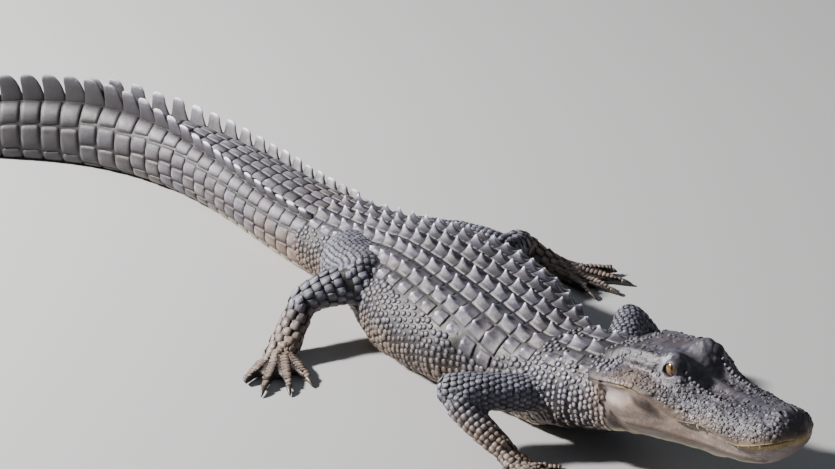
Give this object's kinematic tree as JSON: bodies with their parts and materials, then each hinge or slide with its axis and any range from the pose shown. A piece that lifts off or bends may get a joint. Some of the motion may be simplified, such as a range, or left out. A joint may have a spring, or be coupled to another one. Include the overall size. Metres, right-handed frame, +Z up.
{
  "type": "american alligator, still life-size model",
  "caption": "American alligator lying with its head raised, its legs folded out and its tail curved to one side, a still life-size model.",
  "frame": {"origin": "middle of the flat that the belly rests on, halfway along the trunk", "axes": "+X along the trunk to the head, +Y the animal's left, +Z up"},
  "size_m": [2.1833, 1.0241, 0.2402],
  "materials": {
    "hide": "matte",
    "jaw_skin": "matte",
    "tail_hide": "matte",
    "leg_skin": "matte",
    "eye": "gloss"
  },
  "bodies": {
    "root": {"head": "hide", "neck": "hide", "torso_front": "hide", "torso_rear": "hide", "lower_jaw": "jaw_skin", "eye_left": "eye", "eye_right": "eye", "tail_1": "tail_hide", "tail_2": "tail_hide", "tail_3": "tail_hide", "tail_4": "tail_hide", "tail_5": "tail_hide", "upper_arm_left": "leg_skin", "upper_arm_right": "leg_skin", "forearm_left": "leg_skin", "forearm_right": "leg_skin", "forefoot_left": "leg_skin", "forefoot_right": "leg_skin", "thigh_left": "leg_skin", "thigh_right": "leg_skin", "shank_left": "leg_skin", "shank_right": "leg_skin", "hindfoot_left": "leg_skin", "hindfoot_right": "leg_skin"}
  },
  "joints": []
}
